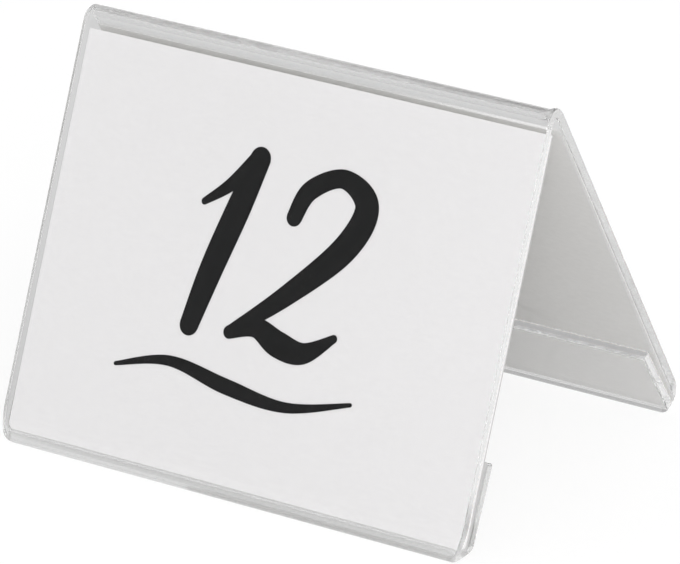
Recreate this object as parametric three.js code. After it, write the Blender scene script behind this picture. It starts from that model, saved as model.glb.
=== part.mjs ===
// A clear table sign holder: one acrylic strip, heat-bent into a tent whose two feet fold inwards
// and up into pockets, with a printed card standing in each pocket.
import * as THREE from "three";

// Millimetres and degrees. X runs along the ridge, +Y points to the rear and +Z up.
// The tent stands on Z = 0 and its ridge lies over the origin.

// Card, which sets the size of the strip
const CARD_WIDTH = 104;
const CARD_HEIGHT = 77;
const CARD_THICKNESS = 0.35;

// Acrylic strip
const SHEET = 2;
const LEG_ANGLE = 25.9; // each leg, from the vertical
const RIDGE_RADIUS = 1.2; // inside of the ridge bend
const FOLD_RADIUS = 0.2; // inside of the foot's two tight bends
const LIP_RUN = 16.6; // straight part of the pocket lip
const LIP_SPLAY = 2.5; // how far the lip leans away from its leg, to let the card in
const LIP_ROUND = 0.5; // polished corners of the lip's free edge

// Ends of the strip, as the heat left them
const END_ROUND = 0.3; // eased edges of the end faces
const FOOT_DRAW = 2.2; // how far a stretched foot fold has drawn in from the end
const CORNER_DRAW = 1.0; // how much further its outside has drawn in
const CORNER_DEPTH = 0.5; // how deep into the sheet that outer corner is rounded
const LEG_FADE = 4.6; // up the leg from the foot fold, to where the drawn-in part starts
const LIP_FADE = 1.3; // up the lip from the foot fold, to where it ends
const RIDGE_FLARE = 0.7; // how far the ridge is turned up at its right end
const FLARE_REACH = 2.3; // from that end to where the ridge starts to rise

// Room round the card
const CARD_CLEARANCE = 0.3; // to the leg, to the lip and to the slot's floor
const HEAD_ROOM = 1.4; // from the card's upper edge to the start of the ridge bend
const END_ROOM = 0.5; // from a centred card's side edges to the ends of the strip
const CARD_SHIFT = 0.45; // how far the cards are pushed from the middle towards the right end

// Facets
const BEND_FACET = 9; // largest turn between two facets of a bend
const ROUND_FACETS = 3; // of a rounded corner
const FADE_STEPS = 4; // rows of the leg and of the lip beside the foot fold
const FLARE_STEPS = 3; // along the turned-up ridge

const legTilt = THREE.MathUtils.degToRad(LEG_ANGLE);
const splay = THREE.MathUtils.degToRad(LIP_SPLAY);
const rightAngle = Math.PI / 2;
const halfWidth = CARD_WIDTH / 2 + END_ROOM;

// The slot takes the card with its clearance on both sides. Between the two tight bends
// of the foot lies a level flat, and the holder stands on its underside.
const slot = CARD_THICKNESS + 2 * CARD_CLEARANCE;
const footFlat = (slot - 2 * FOLD_RADIUS) / Math.cos(legTilt);

// How far the card's lower edge stays above the start of the fold,
// so that its lowest corner keeps the clearance to the slot's floor
const floorDepth = FOLD_RADIUS * (1 + Math.sin(legTilt));
const cardDrop = (CARD_CLEARANCE + CARD_THICKNESS) * Math.sin(legTilt) + CARD_CLEARANCE;
const cardLift = (cardDrop - floorDepth) / Math.cos(legTilt);
const legRun = HEAD_ROOM + CARD_HEIGHT + cardLift;

const acrylic = new THREE.MeshStandardMaterial({
  color: 0xf2f4f3,
  roughness: 0.05,
  metalness: 0,
  transparent: true,
  opacity: 0.3,
});
const whiteCard = new THREE.MeshStandardMaterial({ color: 0xefedec, roughness: 0.75, metalness: 0 });

// 1 up to the start, 0 from the reach on, and level at both
function fade(distance, reach) {
  return 1 - THREE.MathUtils.smoothstep(distance, 0, reach);
}

// Angles of the facets' edges round a quarter circle
function quarterTurns(facets) {
  return Array.from({ length: facets + 1 }, (_, i) => (rightAngle * i) / facets);
}

// Follows a strip through its runs and bends, all bends turning right, in the (Y, Z) plane.
// Each row notes the inner face, the ways out and on, and the distance along the outer face.
class BentStrip {
  constructor() {
    this.rows = [];
    this.at = new THREE.Vector2();
    this.heading = 0; // from +Y, positive towards +Z
    this.travel = 0;
    this.mark();
  }

  along() {
    return new THREE.Vector2(Math.cos(this.heading), Math.sin(this.heading));
  }

  outwards() {
    return new THREE.Vector2(-Math.sin(this.heading), Math.cos(this.heading));
  }

  mark(nose = 0) {
    this.rows.push({
      inner: this.at.clone(),
      outwards: this.outwards(),
      along: this.along(),
      travel: this.travel,
      nose,
    });
  }

  run(length) {
    this.at.addScaledVector(this.along(), length);
    this.travel += length;
    this.mark();
  }

  bend(angle, innerRadius) {
    const facets = Math.ceil(angle / THREE.MathUtils.degToRad(BEND_FACET));
    const centre = this.at.clone().addScaledVector(this.outwards(), -innerRadius);
    for (let i = 0; i < facets; i++) {
      this.heading -= angle / facets;
      this.travel += (angle / facets) * (innerRadius + SHEET);
      this.at.copy(centre).addScaledVector(this.outwards(), innerRadius);
      this.mark();
    }
  }
}

// The rear half of the strip, from the middle of the ridge to the free edge of the lip,
// with the point of the inner face where the leg ends and its foot fold starts
function rearHalf() {
  const strip = new BentStrip();
  strip.bend(rightAngle - legTilt, RIDGE_RADIUS);
  const ridgeEnd = strip.travel;
  strip.run(legRun - LEG_FADE);
  const fadeStart = strip.travel;
  for (let i = 0; i < FADE_STEPS; i++) strip.run(LEG_FADE / FADE_STEPS);
  const foldStart = strip.at.clone();
  strip.bend(rightAngle + legTilt, FOLD_RADIUS);
  const flatStart = strip.travel;
  strip.run(footFlat);
  const flatEnd = strip.travel;
  const ground = strip.at.y - SHEET;
  strip.bend(rightAngle - legTilt - splay, FOLD_RADIUS);
  for (let i = 0; i < FADE_STEPS; i++) strip.run(LIP_FADE / FADE_STEPS);
  const fadeEnd = strip.travel;
  strip.run(LIP_RUN - LIP_FADE - LIP_ROUND);
  for (const turn of quarterTurns(ROUND_FACETS).slice(1)) strip.mark(turn);

  const raise = new THREE.Vector2(0, -ground);
  for (const row of strip.rows) {
    row.inner.add(raise);
    row.crest = fade(row.travel, ridgeEnd);
    const legSide = fade(flatStart - row.travel, flatStart - fadeStart);
    const lipSide = fade(row.travel - flatEnd, fadeEnd - flatEnd);
    row.drawn = legSide * lipSide;
  }
  return { rows: strip.rows, foldStart: foldStart.add(raise) };
}

const half = rearHalf();

function mirrored(row) {
  const flip = (v) => new THREE.Vector2(-v.x, v.y);
  return { ...row, inner: flip(row.inner), outwards: flip(row.outwards), along: flip(row.along) };
}

// Places along the strip from its left end to its right: back from the rounded end edge,
// or at an angle round it
function stationsAlong() {
  const turns = quarterTurns(ROUND_FACETS);
  const left = turns.map((turn) => ({ side: -1, back: 0, turn })).reverse();
  const right = turns.map((turn) => ({ side: 1, back: 0, turn }));
  const flare = Array.from({ length: FLARE_STEPS }, (_, i) => ({
    side: 1,
    back: FLARE_REACH * (1 - i / FLARE_STEPS),
    turn: 0,
  }));
  return [...left, ...flare, ...right];
}

// A point of the strip's skin. A foot fold has drawn in from the end, its outside to a rounded corner,
// and the ridge's right end is turned up.
function skinPoint(row, outer, { side, back, turn }) {
  const corner = outer ? row.drawn : 0;
  const reach = END_ROUND + corner * CORNER_DRAW;
  const inset = (END_ROUND + corner * CORNER_DEPTH) * (1 - Math.cos(turn));
  const x = side * (halfWidth - row.drawn * FOOT_DRAW - reach * (1 - Math.sin(turn)) - back);
  const noseRound = LIP_ROUND - inset;
  const depth = inset + noseRound * (1 - Math.cos(row.nose));
  const at = row.inner
    .clone()
    .addScaledVector(row.along, noseRound * Math.sin(row.nose))
    .addScaledVector(row.outwards, outer ? SHEET - depth : depth);
  const flare = RIDGE_FLARE * row.crest * fade(halfWidth - x, FLARE_REACH);
  return [x, at.x, at.y + flare];
}

// A ring at each station runs along the inner face from the rear lip to the front lip
// and back along the outer face. The rings are joined, and closed at both ends.
function holderMesh() {
  const rows = [...[...half.rows].reverse(), ...half.rows.slice(1).map(mirrored)];
  const stations = stationsAlong();
  const points = stations.flatMap((station) => [
    ...rows.map((row) => skinPoint(row, false, station)),
    ...rows.map((row) => skinPoint(row, true, station)).reverse(),
  ]);
  const around = 2 * rows.length;
  const corners = [];
  const quad = (a, b, c, d) => corners.push(a, b, c, a, c, d);
  for (let start = 0; start + around < points.length; start += around) {
    for (let i = 0; i < around; i++) {
      const j = (i + 1) % around;
      quad(start + i, start + around + i, start + around + j, start + j);
    }
  }
  const end = points.length - around;
  for (let i = 0; i + 1 < rows.length; i++) {
    const across = around - 1 - i;
    quad(i, i + 1, across - 1, across);
    quad(end + i, end + across, end + across - 1, end + i + 1);
  }
  const geometry = new THREE.BufferGeometry();
  geometry.setAttribute("position", new THREE.Float32BufferAttribute(points.flat(), 3));
  geometry.setIndex(corners);
  geometry.computeVertexNormals();
  const mesh = new THREE.Mesh(geometry, acrylic);
  mesh.name = "holder";
  return mesh;
}

// A card in the frame of a leg: its origin is the start of the foot fold on the inner face,
// Y points out through the leg and Z up along it.
function cardInLeg(name, shift) {
  const geometry = new THREE.BoxGeometry(CARD_WIDTH, CARD_THICKNESS, CARD_HEIGHT);
  const mesh = new THREE.Mesh(geometry, whiteCard);
  mesh.name = name;
  mesh.position.set(shift, -CARD_CLEARANCE - CARD_THICKNESS / 2, cardLift + CARD_HEIGHT / 2);
  const leg = new THREE.Group();
  leg.position.set(0, half.foldStart.x, half.foldStart.y);
  leg.rotation.x = legTilt;
  leg.add(mesh);
  return leg;
}

const frontSide = new THREE.Group();
frontSide.rotation.z = Math.PI;
frontSide.add(cardInLeg("front_card", -CARD_SHIFT));

const signHolder = new THREE.Group();
signHolder.add(holderMesh(), cardInLeg("rear_card", CARD_SHIFT), frontSide);

export default signHolder;
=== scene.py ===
"""Looks of a clear acrylic table tent with a card behind each slope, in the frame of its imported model."""
import math

import bmesh
import bpy
from mathutils import Matrix, Vector


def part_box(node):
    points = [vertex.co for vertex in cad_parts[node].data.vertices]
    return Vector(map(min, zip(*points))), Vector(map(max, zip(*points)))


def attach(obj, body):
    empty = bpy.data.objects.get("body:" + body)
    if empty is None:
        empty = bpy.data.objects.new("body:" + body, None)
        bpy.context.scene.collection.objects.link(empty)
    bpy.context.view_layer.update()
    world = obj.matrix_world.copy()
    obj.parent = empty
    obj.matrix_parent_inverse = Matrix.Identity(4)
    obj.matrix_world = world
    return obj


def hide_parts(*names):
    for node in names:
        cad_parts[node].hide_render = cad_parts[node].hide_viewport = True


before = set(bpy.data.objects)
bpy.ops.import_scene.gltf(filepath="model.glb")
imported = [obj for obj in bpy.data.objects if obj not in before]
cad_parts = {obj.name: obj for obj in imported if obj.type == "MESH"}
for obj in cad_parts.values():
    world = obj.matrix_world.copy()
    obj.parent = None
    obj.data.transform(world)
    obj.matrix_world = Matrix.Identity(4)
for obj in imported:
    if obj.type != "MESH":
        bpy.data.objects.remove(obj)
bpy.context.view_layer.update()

MM = 0.001

# Angle between faces, in degrees, from which their edge is sharp
SHARP_ANGLE = 30

# Strip, in millimetres and degrees, as it is bent; a support is a short run that keeps a bend crisp
SHEET = 2.0
LEG_ANGLE = 25.9
RIDGE_RADIUS = 1.2
FOLD_RADIUS = 0.2
LIP_RUN = 16.6
LIP_SPLAY = 2.5
LIP_ROUND = 0.5
HEAD_ROOM = 1.4
BEND_STEP = 4.0
SUPPORT = 0.5

# Ends of the strip, as the heat left them: drawn-in folds and a ridge that is turned up at the right
END_ROUND = 0.3
END_STEPS = 5
CAP_MARGIN = 0.06
REAR_DRAW = 2.2
FRONT_DRAW = 1.2
CORNER_DRAW = 1.0
CORNER_DEPTH = 0.5
LEG_FADE = 4.6
LIP_FADE = 1.3
FADE_STEPS = 8
RIDGE_FLARE = 0.7
FLARE_REACH = 2.3
NEAR_REACH = 4.0
NEAR_STEPS = 8
STATION_STEP = 2.2

# Unevenness of the bends: its depth, its share in the folds, and the length and phase of its waves
RIPPLE = 0.03
FOLD_RIPPLE = 0.5
RIPPLE_WAVES = ((31.0, 0.4), (17.0, 1.9), (9.5, 4.1))

# Finishes of the strip's skin, as material indices, and where painted light and shade lie on it
CLEAR, SAWN, HAZED_AS_LIGHT, SHADOWED_FOLD, SHADED_CREST, HIGHLIGHT_CREASE = range(6)
# The folds' milky white haze, clearing upwards, is painted light that lightens them
LIGHT_HAZE_FROM = 0.15
# A grey painted shadow lies along the rear fold's outside, a grey painted dark reflection on the ridge's
# top
FOLD_SHADOW_REACH = 0.9
CREST_SHADE_REAR = 0.45
CREST_SHADE_FRONT = 0.65

# Cards, in millimetres, and how finely they are divided
CARD_WIDTH = 104.0
CARD_HEIGHT = 77.0
CARD_THICKNESS = 0.35
CARD_CLEARANCE = 0.3
CARD_SHIFT = 0.45
CARD_BOW = 0.15
CARD_CORNER = 1.2
CARD_COLUMNS = 30
CARD_LINES = 22
CORNER_STEPS = 6

# Finishes of a card, as material indices
PRINTED, CUT, PLAIN = range(3)

# Printed number: brush strokes as points (right, up, half width) in millimetres from its middle
STROKES = (
    ((-20.5, 8.0, 0.7), (-16.5, 12.0, 1.3), (-13.0, 17.5, 1.9)),
    ((-12.5, 18.0, 2.3), (-12.8, 8.0, 2.7), (-13.2, -4.0, 2.6), (-13.0, -15.0, 2.1)),
    ((-0.5, 9.0, 1.7), (0.5, 14.5, 1.9), (6.5, 18.0, 1.8), (13.5, 14.0, 2.6), (12.5, 5.5, 2.7),
     (4.5, -5.5, 2.0), (-4.0, -14.5, 1.2)),
    ((-4.0, -14.5, 1.3), (1.0, -12.5, 1.9), (7.0, -14.5, 2.5), (13.0, -15.0, 2.0), (18.0, -11.0, 0.8)),
    ((-25.0, -25.5, 0.4), (-14.0, -22.5, 1.0), (0.0, -24.5, 1.5), (14.0, -25.5, 1.0), (27.0, -22.0, 0.4)),
)
NUMBER_RISE = 4.0
INK_PROUD = 0.03
INK_SLANT = 13.0
INK_STEPS = 10
CAP_STEPS = 6

# Acrylic: tints, shares of light that go through, and roughness; spans in metres along the piece
ACRYLIC_IOR = 1.49
ACRYLIC_TINT = 0.968
LIGHT_PASS = 1.0
CLEAR_ROUGHNESS = (0.0, 0.03)
WAVE_STRENGTH = 0.05
WAVE_DEPTH = 0.0004
SAWN_SHADES = ((0.95, 0.95, 0.945), (0.98, 0.98, 0.975))
SAWN_CLARITY = 0.75
SAWN_ROUGHNESS = (0.15, 0.25)
# Milky white at the folds' foot, clearing upwards: painted light that lightens the bottom bands
LIGHT_HAZE_SPAN = (0.0, 0.0045)
LIGHT_HAZE_CLARITY = (0.7, 0.98)
HAZE_ROUGHNESS = (0.02, 0.08)
# Grey in the colour as painted shade: a painted shadow on the rear fold, a painted dark reflection on the
# ridge
PAINTED_SHADE_SPAN = (-0.01, 0.0525)
PAINTED_SHADE_CLARITY = 0.92
PAINTED_SHADE_ROUGHNESS = 0.03
PAINTED_SHADE_STREAKS = (0.94, 1.06)
FOLD_SHADOW_GREYS = (0.47, 0.47)
CREST_SHADE_GREYS = (0.74, 0.4)
# A white line where the front leg leaves the ridge, stronger to the right: a painted highlight
CREASE_HIGHLIGHT_SPAN = (0.015, 0.045)
CREASE_HIGHLIGHT_CLARITY = (1.0, 0.45)

# Card and ink
PRINTED_SHADES = ((0.860, 0.850, 0.855), (0.890, 0.880, 0.885))
PLAIN_SHADES = ((0.827, 0.821, 0.810), (0.857, 0.851, 0.840))
CARD_GLOSS = 0.3
CARD_ROUGHNESS = (0.62, 0.78)
CARD_SOFTNESS = 0.75
CARD_SCATTER = 0.0004
FIBRE_STRENGTH = 0.08
FIBRE_DEPTH = 0.0001
CUT_SHADES = ((0.58, 0.575, 0.57), (0.68, 0.675, 0.67))
CUT_GLOSS = 0.2
CUT_ROUGHNESS = 0.85
INK_SHADES = ((0.006, 0.006, 0.0065), (0.010, 0.010, 0.0105))
INK_GLOSS = 0.3
INK_ROUGHNESS = (0.5, 0.65)

# Grains: cells per metre, detail and stretch along each axis; and the part of the noise's range in use
EVEN = (1, 1, 1)
SMEARS = (55, 3.0, (1, 1, 0.6))
WAVES = (40, 1.0, EVEN)
SAW_MARKS = (900, 2.0, (1, 0.4, 1))
CLOUDS = (200, 3.0, EVEN)
SHADE_STREAK_GRAIN = (150, 2.0, (0.3, 1, 1))
FIBRES = (1400, 4.0, (0.5, 1, 1))
SHEEN = (300, 3.0, EVEN)
CUT_FIBRES = (2500, 4.0, (1, 0.3, 0.3))
WEAR = (500, 4.0, EVEN)
NOISE_SPAN = (0.3, 0.7)

# Light: the world, the lamp and the floor as they light, as the camera sees them, and in mirror and glass
WORLD_LIGHT = 0.76
WORLD_SHOWN = 1.0
WORLD_IN_GLASS = 0.66
WORLD_SHADE = 0.1
SHADE_FROM = (-0.5635, -0.7753, 0.2848)
SHADE_SPAN = (0.80, 0.97)
GUIDED_LIGHT = 0.95
GUIDED_FROM = 8
KEY_PLACE = (1.7, -1.4, 1.45)
KEY_AIM = (0.0, 0.0, 0.04)
KEY_SIZE = (1.8, 1.8)
KEY_POWER = 35
FLOOR_SIZE = 20.0
FLOOR_DROP = 0.0001
FLOOR_COLOUR = 0.62
FLOOR_SHOWN = 0.22
FLOOR_LIFT = 0.795
FLOOR_IN_GLASS = 0.42
FLOOR_SHADE_IN_GLASS = 0.3
FLOOR_IN_MIRROR = 0.65

# Bounces of light, and the mark between none and the first off a matt surface
FIRST_BOUNCE = 0.5
LIGHT_BOUNCES = 160
DIFFUSE_BOUNCES = 8

# Camera, fitted to the photograph's edges
SENSOR = 36.0
CAMERA_AZIMUTH = 36.716
CAMERA_ELEVATION = 25.083
CAMERA_ROLL = -3.423
CAMERA_DISTANCE = 1.4
CAMERA_LENS = 393.3
CAMERA_SIDE = -0.00019
CAMERA_RISE = 0.02713
CAMERA_NEAR = 0.01

tilt = math.radians(LEG_ANGLE)
quarter = math.pi / 2
half_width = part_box("holder")[1].x / MM
slot_width = CARD_THICKNESS + 2 * CARD_CLEARANCE
foot_flat = (slot_width - 2 * FOLD_RADIUS) / math.cos(tilt)
floor_depth = FOLD_RADIUS * (1 + math.sin(tilt))
card_drop = (CARD_CLEARANCE + CARD_THICKNESS) * math.sin(tilt) + CARD_CLEARANCE
card_lift = (card_drop - floor_depth) / math.cos(tilt)
leg_run = HEAD_ROOM + CARD_HEIGHT + card_lift


def smooth(t):
    t = min(1.0, max(0.0, t))
    return t * t * (3 - 2 * t)


def fade(distance, reach):
    """1 up to the start, 0 from the reach on."""
    return 1 - smooth(distance / reach)


class Row:
    """A place on the strip's section.

    Travel is its distance from the ridge along the outer face, and nose its turn round the lip's tip.
    Crest and drawn say how far it belongs to the ridge and to a fold, draw how far in that fold's ends are,
    and zones which finishes lie here.
    """

    def __init__(self, inner, outwards, along, travel, nose=0.0):
        self.inner = inner
        self.outwards = outwards
        self.along = along
        self.travel = travel
        self.nose = nose
        self.crest = 0.0
        self.drawn = 0.0
        self.draw = REAR_DRAW
        self.zones = set()

    def mirrored(self):
        flat = [Vector((-v.x, v.y)) for v in (self.inner, self.outwards, self.along)]
        row = Row(*flat, self.travel, self.nose)
        row.crest, row.drawn, row.draw = self.crest, self.drawn, FRONT_DRAW
        return row


class BentStrip:
    """Follows the strip's inner face in the (Y, Z) plane from the ridge; all bends turn right."""

    def __init__(self):
        self.at = Vector((0.0, 0.0))
        self.heading = 0.0
        self.travel = 0.0
        self.rows = []
        self.mark()

    def outwards(self):
        return Vector((-math.sin(self.heading), math.cos(self.heading)))

    def along(self):
        return Vector((math.cos(self.heading), math.sin(self.heading)))

    def mark(self, nose=0.0):
        self.rows.append(Row(self.at.copy(), self.outwards(), self.along(), self.travel, nose))

    def run(self, length, steps=1):
        for _ in range(steps):
            self.at = self.at + self.along() * (length / steps)
            self.travel += length / steps
            self.mark()

    def bend(self, angle, radius):
        steps = math.ceil(math.degrees(angle) / BEND_STEP)
        centre = self.at - self.outwards() * radius
        for _ in range(steps):
            self.heading -= angle / steps
            self.travel += angle / steps * (radius + SHEET)
            self.at = centre + self.outwards() * radius
            self.mark()


def mark_zone(side, finish, start, stop):
    """Notes a finish on the rows of one side, from one travel to another."""
    for row in side:
        if start <= row.travel <= stop:
            row.zones.add(finish)


def strip_rows():
    """Rows from the rear lip's tip over the ridge to the front lip's, and the rear leg's foot."""
    strip = BentStrip()
    strip.bend(quarter - tilt, RIDGE_RADIUS)
    ridge_end = strip.travel
    strip.run(SUPPORT)
    strip.run(leg_run - SUPPORT - LEG_FADE)
    fade_start = strip.travel
    strip.run(LEG_FADE, FADE_STEPS)
    foot = strip.at.copy()
    strip.bend(quarter + tilt, FOLD_RADIUS)
    flat_start = strip.travel
    strip.run(foot_flat)
    flat_end = strip.travel
    ground = strip.at.y - SHEET
    strip.bend(quarter - tilt - math.radians(LIP_SPLAY), FOLD_RADIUS)
    lip_start = strip.travel
    strip.run(LIP_FADE, FADE_STEPS)
    fade_end = strip.travel
    strip.run(LIP_RUN - LIP_FADE - LIP_ROUND - SUPPORT)
    strip.run(SUPPORT)
    for i in range(1, END_STEPS + 1):
        strip.mark(quarter * i / END_STEPS)
    rise = Vector((0.0, -ground))
    for row in strip.rows:
        row.inner = row.inner + rise
        row.crest = fade(row.travel, ridge_end)
        leg_side = fade(flat_start - row.travel, flat_start - fade_start)
        row.drawn = leg_side * fade(row.travel - flat_end, fade_end - flat_end)
    rear = strip.rows[::-1]
    front = [row.mirrored() for row in strip.rows[1:]]
    # Painted shadow along the rear fold's outside
    mark_zone(rear, SHADOWED_FOLD, flat_end, lip_start + FOLD_SHADOW_REACH)
    # Painted dark reflection on the ridge's top, on both sides
    mark_zone(rear, SHADED_CREST, 0.0, CREST_SHADE_REAR)
    mark_zone(front, SHADED_CREST, 0.0, CREST_SHADE_FRONT)
    # Painted highlight line where the front leg leaves the ridge
    mark_zone(front, HIGHLIGHT_CREASE, ridge_end, ridge_end + SUPPORT)
    mark_zone(rear, SAWN, ridge_end, fade_start)
    return rear + front, foot + rise


rows, foot = strip_rows()


def ripple(x):
    """Unevenness of a bend along the strip, from 0 to 1."""
    total = sum(math.sin(2 * math.pi * x / length + phase) for length, phase in RIPPLE_WAVES)
    return 0.5 + 0.5 * total / len(RIPPLE_WAVES)


class Station:
    """A place along the strip: a share of its length, set back from its rounded end or round that end."""

    def __init__(self, share, back=0.0, turn=0.0, margin=0.0):
        self.share = share
        self.back = back
        self.turn = turn
        self.margin = margin

    def mirrored(self):
        return Station(-self.share, self.back, self.turn, self.margin)


def strip_stations():
    """Stations from the left cap to the right."""
    near = [Station(1, NEAR_REACH * (1 - i / NEAR_STEPS)) for i in range(NEAR_STEPS)]
    edge = [Station(1, turn=quarter * i / END_STEPS) for i in range(END_STEPS + 1)]
    right = near + edge + [Station(1, turn=quarter, margin=CAP_MARGIN)]
    count = round(2 * half_width / STATION_STEP)
    middle = [Station(2 * i / count - 1, NEAR_REACH) for i in range(1, count)]
    return [station.mirrored() for station in reversed(right)] + middle + right


def strip_point(row, outer, station):
    """A point of the strip's skin, with the folds' ends drawn in and the ridge's right end turned up."""
    corner = row.drawn if outer else 0.0
    reach = END_ROUND + corner * CORNER_DRAW
    inset = (END_ROUND + corner * CORNER_DEPTH) * (1 - math.cos(station.turn)) + station.margin
    end = half_width - row.drawn * row.draw
    x = station.share * (end - reach * (1 - math.sin(station.turn)) - station.back)
    nose_round = LIP_ROUND - inset
    depth = inset + nose_round * (1 - math.cos(row.nose))
    sunk = RIPPLE * ripple(x) * max(row.crest, FOLD_RIPPLE * row.drawn)
    at = row.inner + row.along * (nose_round * math.sin(row.nose))
    at = at + row.outwards * ((SHEET - depth if outer else depth) - sunk)
    flare = RIDGE_FLARE * row.crest * fade(half_width - x, FLARE_REACH)
    return Vector((x, at.x, at.y + flare)) * MM


def finish_between(here, there, outer, right_edge):
    """The finish of the skin between two rows."""
    shared = here.zones & there.zones
    # Outside, the painted shadow, the painted dark reflection and the painted highlight line come first
    if outer:
        for finish in (SHADOWED_FOLD, SHADED_CREST, HIGHLIGHT_CREASE):
            if finish in shared:
                return finish
    # The folds' milky haze is painted light
    if here.drawn > LIGHT_HAZE_FROM:
        return HAZED_AS_LIGHT
    if right_edge and not outer and SAWN in shared:
        return SAWN
    return CLEAR


def add_piece(name, bm, materials):
    bmesh.ops.recalc_face_normals(bm, faces=bm.faces)
    mesh = bpy.data.meshes.new(name)
    bm.to_mesh(mesh)
    bm.free()
    mesh.polygons.foreach_set("use_smooth", [True] * len(mesh.polygons))
    mesh.set_sharp_from_angle(angle=math.radians(SHARP_ANGLE))
    for material in materials:
        mesh.materials.append(material)
    obj = bpy.data.objects.new(name, mesh)
    bpy.context.scene.collection.objects.link(obj)
    return obj


def holder_piece(finishes):
    """The bent strip, as rings round its section from end to end, with a cap on each end."""
    bm = bmesh.new()
    stations = strip_stations()
    rings = []
    for station in stations:
        points = [strip_point(row, False, station) for row in rows]
        points += [strip_point(row, True, station) for row in reversed(rows)]
        rings.append([bm.verts.new(p) for p in points])
    count = len(rings[0])
    last = len(rows) - 1
    around = rows + rows[::-1]
    for a, b, station in zip(rings, rings[1:], stations[1:]):
        right_edge = station.share > 0 and station.turn > 0
        for i in range(count):
            j = (i + 1) % count
            face = bm.faces.new((a[i], a[j], b[j], b[i]))
            face.material_index = finish_between(around[i], around[j], i > last, right_edge)
    for ring in (rings[0], rings[-1]):
        for i in range(last):
            face = bm.faces.new((ring[i], ring[i + 1], ring[count - 2 - i], ring[count - 1 - i]))
            face.material_index = SAWN
    obj = add_piece("acrylic_tent", bm, finishes)
    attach(obj, "holder")
    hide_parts("holder")


def card_point(front, across, up, depth):
    """A point at a card: millimetres right of its middle as it is read, up its slope, in from the leg."""
    bow = CARD_BOW * (1 - (2 * across / CARD_WIDTH) ** 2) * smooth(up / CARD_HEIGHT)
    inwards = depth + bow
    run = card_lift + up
    y = foot.x - run * math.sin(tilt) - inwards * math.cos(tilt)
    z = foot.y + run * math.cos(tilt) - inwards * math.sin(tilt)
    if front:
        return Vector((CARD_SHIFT + across, -y, z)) * MM
    return Vector((CARD_SHIFT - across, y, z)) * MM


def card_lines():
    """Heights on a card with its half width there, which is less at its rounded lower corners."""
    half = CARD_WIDTH / 2
    rest = CARD_HEIGHT - CARD_CORNER
    lines = []
    for i in range(CORNER_STEPS):
        turn = quarter * i / CORNER_STEPS
        lines.append((CARD_CORNER * (1 - math.cos(turn)), half - CARD_CORNER * (1 - math.sin(turn))))
    return lines + [(CARD_CORNER + rest * j / CARD_LINES, half) for j in range(CARD_LINES + 1)]


def card_side(bm, front, depth):
    """One side of a card, as lines of points from its foot up."""
    shares = [2 * i / CARD_COLUMNS - 1 for i in range(CARD_COLUMNS + 1)]
    return [[bm.verts.new(card_point(front, half * share, up, depth)) for share in shares]
            for up, half in card_lines()]


def card_piece(name, front, finishes):
    """A card of its real thickness, printed on the side towards its leg."""
    bm = bmesh.new()
    face = card_side(bm, front, CARD_CLEARANCE)
    back = card_side(bm, front, CARD_CLEARANCE + CARD_THICKNESS)
    for grid, finish in ((face, PRINTED), (back, PLAIN)):
        for low, high in zip(grid, grid[1:]):
            for i in range(CARD_COLUMNS):
                bm.faces.new((low[i], low[i + 1], high[i + 1], high[i])).material_index = finish
    for line in (0, -1):
        a, b = face[line], back[line]
        for i in range(CARD_COLUMNS):
            bm.faces.new((a[i], a[i + 1], b[i + 1], b[i])).material_index = CUT
    for column in (0, -1):
        a = [line[column] for line in face]
        b = [line[column] for line in back]
        for j in range(len(a) - 1):
            bm.faces.new((a[j], a[j + 1], b[j + 1], b[j])).material_index = CUT
    obj = add_piece(name + "_paper", bm, finishes)
    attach(obj, name)
    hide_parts(name)


def eased(points):
    """Points of a brush stroke, joined by a smooth curve."""
    ends = [points[0]] + list(points) + [points[-1]]
    curve = []
    for a, b, c, d in zip(ends, ends[1:], ends[2:], ends[3:]):
        for i in range(INK_STEPS):
            t = i / INK_STEPS
            curve.append([0.5 * (2 * q + (r - p) * t + (2 * p - 5 * q + 4 * r - s) * t ** 2
                                 + (3 * q - p - 3 * r + s) * t ** 3) for p, q, r, s in zip(a, b, c, d)])
    curve.append(list(points[-1]))
    return curve


def stroke_cap(at, way, side, half):
    """Paired edge points of a stroke's round end, from the stroke to its tip."""
    pairs = []
    for k in reversed(range(CAP_STEPS)):
        turn = quarter * (k + 0.5) / CAP_STEPS
        on = at + way * (half * math.cos(turn))
        reach = side * (half * math.sin(turn))
        pairs.append((on + reach, on - reach))
    return pairs


def stroke_outline(points):
    """Left and right edges of a stroke, paired, with round ends."""
    lean = math.tan(math.radians(INK_SLANT))
    curve = [(Vector((right + up * lean, up)), half) for right, up, half in eased(points)]
    pairs = []
    for i, (at, half) in enumerate(curve):
        way = (curve[min(i + 1, len(curve) - 1)][0] - curve[max(i - 1, 0)][0]).normalized()
        side = Vector((-way.y, way.x))
        if i == 0:
            pairs += reversed(stroke_cap(at, -way, side, half))
        pairs.append((at + side * half, at - side * half))
        if i == len(curve) - 1:
            pairs += stroke_cap(at, way, side, half)
    return pairs


def stroke_skin(bm, front, pairs, depth):
    """The paired edge points of a stroke, laid on a card."""
    middle = CARD_HEIGHT / 2 + NUMBER_RISE
    return [[bm.verts.new(card_point(front, p.x, middle + p.y, depth)) for p in pair] for pair in pairs]


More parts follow.
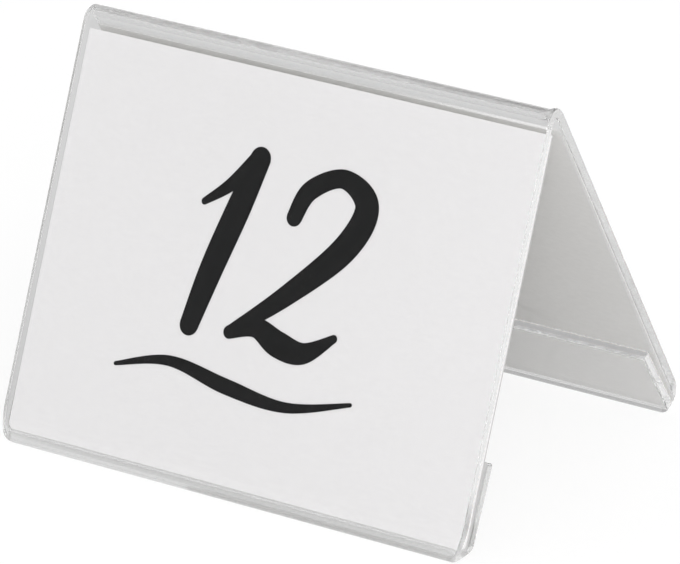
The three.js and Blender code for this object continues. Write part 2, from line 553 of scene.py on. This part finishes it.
def number_piece(name, front, ink):
    """The strokes of the number, as thin layers of ink that stand a little proud of their card."""
    bm = bmesh.new()
    for stroke in STROKES:
        pairs = stroke_outline(stroke)
        over = stroke_skin(bm, front, pairs, CARD_CLEARANCE - INK_PROUD)
        under = stroke_skin(bm, front, pairs, CARD_CLEARANCE + INK_PROUD)
        for skin in (over, under):
            for (a, b), (c, d) in zip(skin, skin[1:]):
                bm.faces.new((a, b, d, c))
        for edge in (0, 1):
            for i in range(len(over) - 1):
                bm.faces.new((over[i][edge], over[i + 1][edge], under[i + 1][edge], under[i][edge]))
        for end in (0, -1):
            bm.faces.new((over[end][0], over[end][1], under[end][1], under[end][0]))
    obj = add_piece(name + "_number", bm, (ink,))
    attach(obj, name)


def new_material(name):
    material = bpy.data.materials.new(name)
    material.use_nodes = True
    tree = material.node_tree
    return material, tree.nodes, tree.links, tree.nodes["Principled BSDF"]


def feed(links, socket, value):
    """Sets a socket to a number, or links an output to it."""
    if isinstance(value, (int, float)):
        socket.default_value = value
    else:
        links.new(value, socket)


def calculate(nodes, links, operation, a, b):
    node = nodes.new("ShaderNodeMath")
    node.operation = operation
    feed(links, node.inputs[0], a)
    feed(links, node.inputs[1], b)
    return node.outputs[0]


def choose(nodes, links, factor, a, b):
    """The first value where the factor is 0, and the second where it is 1."""
    mix = nodes.new("ShaderNodeMix")
    links.new(factor, mix.inputs["Factor"])
    feed(links, mix.inputs["A"], a)
    feed(links, mix.inputs["B"], b)
    return mix.outputs["Result"]


def ramp(nodes, links, value, span, ends):
    """A node that takes a value's span to two ends, and holds them outside it."""
    node = nodes.new("ShaderNodeMapRange")
    node.inputs["From Min"].default_value, node.inputs["From Max"].default_value = span
    node.inputs["To Min"].default_value, node.inputs["To Max"].default_value = ends
    links.new(value, node.inputs["Value"])
    return node


def along_axis(nodes, links, axis):
    """Metres along one of the piece's axes."""
    place = nodes.new("ShaderNodeTexCoord")
    split = nodes.new("ShaderNodeSeparateXYZ")
    links.new(place.outputs["Object"], split.inputs["Vector"])
    return split.outputs[axis]


def grain(nodes, links, kind):
    """Noise that is fixed to the piece."""
    scale, detail, stretch = kind
    place = nodes.new("ShaderNodeTexCoord")
    turn = nodes.new("ShaderNodeMapping")
    turn.inputs["Scale"].default_value = stretch
    noise = nodes.new("ShaderNodeTexNoise")
    noise.inputs["Scale"].default_value = scale
    noise.inputs["Detail"].default_value = detail
    links.new(place.outputs["Object"], turn.inputs["Vector"])
    links.new(turn.outputs["Vector"], noise.inputs["Vector"])
    return noise.outputs["Fac"]


def spread(nodes, links, noise, ends):
    """Noise spread over a range."""
    return ramp(nodes, links, noise, NOISE_SPAN, ends).outputs["Result"]


def shades(nodes, links, noise, colours):
    """A colour between two, by noise."""
    dark, light = colours
    mix = nodes.new("ShaderNodeMix")
    mix.data_type = "RGBA"
    mix.inputs["A"].default_value = (*dark, 1)
    mix.inputs["B"].default_value = (*light, 1)
    links.new(spread(nodes, links, noise, (0.0, 1.0)), mix.inputs["Factor"])
    return mix.outputs["Result"]


def relief(nodes, links, noise, strength, distance):
    bump = nodes.new("ShaderNodeBump")
    bump.inputs["Strength"].default_value = strength
    bump.inputs["Distance"].default_value = distance
    links.new(noise, bump.inputs["Height"])
    return bump.outputs["Normal"]


def new_acrylic(name):
    """Acrylic, through which light on its way to the cards and the floor passes straight."""
    material, nodes, links, bsdf = new_material(name)
    bsdf.inputs["Base Color"].default_value = (ACRYLIC_TINT, ACRYLIC_TINT, ACRYLIC_TINT, 1)
    bsdf.inputs["IOR"].default_value = ACRYLIC_IOR
    path = nodes.new("ShaderNodeLightPath")
    lit = calculate(nodes, links, "GREATER_THAN", path.outputs["Diffuse Depth"], FIRST_BOUNCE)
    passing = calculate(nodes, links, "MAXIMUM", path.outputs["Is Shadow Ray"], lit)
    clear = nodes.new("ShaderNodeBsdfTransparent")
    clear.inputs["Color"].default_value = (LIGHT_PASS, LIGHT_PASS, LIGHT_PASS, 1)
    mix = nodes.new("ShaderNodeMixShader")
    links.new(passing, mix.inputs["Fac"])
    links.new(bsdf.outputs["BSDF"], mix.inputs[1])
    links.new(clear.outputs["BSDF"], mix.inputs[2])
    links.new(mix.outputs["Shader"], nodes["Material Output"].inputs["Surface"])
    return material, nodes, links, bsdf


def clear_material():
    material, nodes, links, bsdf = new_acrylic("clear_acrylic")
    bsdf.inputs["Transmission Weight"].default_value = 1.0
    smears = grain(nodes, links, SMEARS)
    links.new(spread(nodes, links, smears, CLEAR_ROUGHNESS), bsdf.inputs["Roughness"])
    waves = grain(nodes, links, WAVES)
    links.new(relief(nodes, links, waves, WAVE_STRENGTH, WAVE_DEPTH), bsdf.inputs["Normal"])
    return material


def sawn_material():
    material, nodes, links, bsdf = new_acrylic("sawn_acrylic_edge")
    marks = grain(nodes, links, SAW_MARKS)
    links.new(shades(nodes, links, marks, SAWN_SHADES), bsdf.inputs["Base Color"])
    bsdf.inputs["Transmission Weight"].default_value = SAWN_CLARITY
    links.new(spread(nodes, links, marks, SAWN_ROUGHNESS), bsdf.inputs["Roughness"])
    return material


def painted_light_milky_material(name, axis, span, clarity):
    """Acrylic whose milky white haze changes along an axis; the white is painted light."""
    material, nodes, links, bsdf = new_acrylic(name)
    thin = ramp(nodes, links, along_axis(nodes, links, axis), span, clarity)
    links.new(thin.outputs["Result"], bsdf.inputs["Transmission Weight"])
    clouds = grain(nodes, links, CLOUDS)
    links.new(spread(nodes, links, clouds, HAZE_ROUGHNESS), bsdf.inputs["Roughness"])
    return material


def painted_shade_material(name, tones):
    """Acrylic with grey painted shade in its colour, from one shade at the middle to another at the right
    end.
    """
    material, nodes, links, bsdf = new_acrylic(name)
    tone = ramp(nodes, links, along_axis(nodes, links, "X"), PAINTED_SHADE_SPAN, tones)
    streaks = spread(nodes, links, grain(nodes, links, SHADE_STREAK_GRAIN), PAINTED_SHADE_STREAKS)
    shade = calculate(nodes, links, "MULTIPLY", tone.outputs["Result"], streaks)
    links.new(shade, bsdf.inputs["Base Color"])
    bsdf.inputs["Transmission Weight"].default_value = PAINTED_SHADE_CLARITY
    bsdf.inputs["Roughness"].default_value = PAINTED_SHADE_ROUGHNESS
    return material


def paper_material(name, colours):
    material, nodes, links, bsdf = new_material(name)
    fibres = grain(nodes, links, FIBRES)
    links.new(shades(nodes, links, fibres, colours), bsdf.inputs["Base Color"])
    bsdf.inputs["Specular IOR Level"].default_value = CARD_GLOSS
    bsdf.inputs["Subsurface Weight"].default_value = CARD_SOFTNESS
    bsdf.inputs["Subsurface Radius"].default_value = (1, 1, 1)
    bsdf.inputs["Subsurface Scale"].default_value = CARD_SCATTER
    sheen = grain(nodes, links, SHEEN)
    links.new(spread(nodes, links, sheen, CARD_ROUGHNESS), bsdf.inputs["Roughness"])
    links.new(relief(nodes, links, fibres, FIBRE_STRENGTH, FIBRE_DEPTH), bsdf.inputs["Normal"])
    return material


def cut_material():
    material, nodes, links, bsdf = new_material("card_cut_edge")
    fibres = grain(nodes, links, CUT_FIBRES)
    links.new(shades(nodes, links, fibres, CUT_SHADES), bsdf.inputs["Base Color"])
    bsdf.inputs["Specular IOR Level"].default_value = CUT_GLOSS
    bsdf.inputs["Roughness"].default_value = CUT_ROUGHNESS
    return material


def ink_material():
    material, nodes, links, bsdf = new_material("black_ink")
    wear = grain(nodes, links, WEAR)
    links.new(shades(nodes, links, wear, INK_SHADES), bsdf.inputs["Base Color"])
    bsdf.inputs["Specular IOR Level"].default_value = INK_GLOSS
    links.new(spread(nodes, links, wear, INK_ROUGHNESS), bsdf.inputs["Roughness"])
    return material


def unscattered(nodes, links, path):
    """1 for what the camera sees direct or by way of mirror and glass, 0 for light on a matt surface."""
    return calculate(nodes, links, "LESS_THAN", path.outputs["Diffuse Depth"], FIRST_BOUNCE)


def floor():
    """A plain floor to the light, white to the camera apart from the shadow, pale in mirror and glass."""
    bm = bmesh.new()
    corners = ((-1, -1), (1, -1), (1, 1), (-1, 1))
    bm.faces.new([bm.verts.new((x * FLOOR_SIZE, y * FLOOR_SIZE, -FLOOR_DROP)) for x, y in corners])
    material, nodes, links, bsdf = new_material("pale_floor")
    bsdf.inputs["Roughness"].default_value = 1.0
    bsdf.inputs["Specular IOR Level"].default_value = 0.0
    path = nodes.new("ShaderNodeLightPath")
    camera_ray = path.outputs["Is Camera Ray"]
    glass_ray = path.outputs["Is Transmission Ray"]
    bent = calculate(nodes, links, "MAXIMUM", path.outputs["Is Glossy Ray"], glass_ray)
    glassy = calculate(nodes, links, "MULTIPLY", bent, unscattered(nodes, links, path))
    shade = choose(nodes, links, camera_ray, FLOOR_COLOUR, FLOOR_SHOWN)
    links.new(choose(nodes, links, glassy, shade, FLOOR_SHADE_IN_GLASS), bsdf.inputs["Base Color"])
    bsdf.inputs["Emission Color"].default_value = (1, 1, 1, 1)
    lift = calculate(nodes, links, "MULTIPLY", camera_ray, FLOOR_LIFT)
    level = choose(nodes, links, glass_ray, FLOOR_IN_MIRROR, FLOOR_IN_GLASS)
    shown = calculate(nodes, links, "MULTIPLY", glassy, level)
    links.new(calculate(nodes, links, "ADD", lift, shown), bsdf.inputs["Emission Strength"])
    add_piece("floor", bm, (material,))


def key_lamp():
    """A soft lamp that lights, but doesn't show in mirror or glass."""
    data = bpy.data.lights.new("key", "AREA")
    data.shape = "RECTANGLE"
    data.size, data.size_y = KEY_SIZE
    data.energy = KEY_POWER
    obj = bpy.data.objects.new("key", data)
    bpy.context.scene.collection.objects.link(obj)
    obj.location = KEY_PLACE
    obj.rotation_euler = (Vector(KEY_AIM) - Vector(KEY_PLACE)).to_track_quat("-Z", "Y").to_euler()
    obj.visible_glossy = False
    obj.visible_transmission = False


def world_light():
    """A pale room, white to the camera.

    Mirror and glass show a dark corner in it. Light that the sheet guides a long way counts as brighter.
    """
    world = bpy.data.worlds.new("studio")
    bpy.context.scene.world = world
    world.use_nodes = True
    nodes, links = world.node_tree.nodes, world.node_tree.links
    place = nodes.new("ShaderNodeTexCoord")
    towards = nodes.new("ShaderNodeVectorMath")
    towards.operation = "DOT_PRODUCT"
    towards.inputs[1].default_value = Vector(SHADE_FROM).normalized()
    links.new(place.outputs["Generated"], towards.inputs[0])
    shade = ramp(nodes, links, towards.outputs["Value"], SHADE_SPAN, (WORLD_IN_GLASS, WORLD_SHADE))
    shade.interpolation_type = "SMOOTHSTEP"
    path = nodes.new("ShaderNodeLightPath")
    guided = calculate(nodes, links, "GREATER_THAN", path.outputs["Ray Depth"], GUIDED_FROM)
    bent = choose(nodes, links, guided, shade.outputs["Result"], GUIDED_LIGHT)
    level = choose(nodes, links, unscattered(nodes, links, path), WORLD_LIGHT, bent)
    seen = choose(nodes, links, path.outputs["Is Camera Ray"], level, WORLD_SHOWN)
    links.new(seen, nodes["Background"].inputs["Strength"])
    nodes["Background"].inputs["Color"].default_value = (1, 1, 1, 1)


def camera():
    azimuth, elevation, roll = (math.radians(v) for v in (CAMERA_AZIMUTH, CAMERA_ELEVATION, CAMERA_ROLL))
    back = Vector((
        math.sin(azimuth) * math.cos(elevation),
        -math.cos(azimuth) * math.cos(elevation),
        math.sin(elevation),
    ))
    level = Vector((math.cos(azimuth), math.sin(azimuth), 0))
    over = back.cross(level)
    right = level * math.cos(roll) + over * math.sin(roll)
    up = over * math.cos(roll) - level * math.sin(roll)
    place = back * CAMERA_DISTANCE + right * CAMERA_SIDE + up * CAMERA_RISE
    data = bpy.data.cameras.new("camera")
    data.sensor_width = SENSOR
    data.lens = CAMERA_LENS
    data.clip_start = CAMERA_NEAR
    obj = bpy.data.objects.new("camera", data)
    bpy.context.scene.collection.objects.link(obj)
    obj.matrix_world = Matrix.Translation(place) @ Matrix((right, up, back)).transposed().to_4x4()
    bpy.context.scene.camera = obj


bpy.context.scene.view_settings.view_transform = "Standard"
cycles = bpy.context.scene.cycles
cycles.max_bounces = LIGHT_BOUNCES
cycles.glossy_bounces = LIGHT_BOUNCES
cycles.transmission_bounces = LIGHT_BOUNCES
cycles.diffuse_bounces = DIFFUSE_BOUNCES
camera()
world_light()
key_lamp()
floor()
holder_piece((
    clear_material(),
    sawn_material(),
    # Milky haze at the folds, as painted light
    painted_light_milky_material("fold_haze_painted_light", "Z", LIGHT_HAZE_SPAN, LIGHT_HAZE_CLARITY),
    # Grey painted shadow on the rear fold
    painted_shade_material("fold_painted_shadow", FOLD_SHADOW_GREYS),
    # Grey painted dark reflection on the ridge's top, darker towards the right end
    painted_shade_material("ridge_painted_shade", CREST_SHADE_GREYS),
    # White painted highlight line below the ridge
    painted_light_milky_material("ridge_painted_highlight_line", "X", CREASE_HIGHLIGHT_SPAN, CREASE_HIGHLIGHT_CLARITY),
))
card_finishes = (
    paper_material("white_card", PRINTED_SHADES),
    cut_material(),
    paper_material("white_card_back", PLAIN_SHADES),
)
ink = ink_material()
for name, front in (("front_card", True), ("rear_card", False)):
    card_piece(name, front, card_finishes)
    number_piece(name, front, ink)
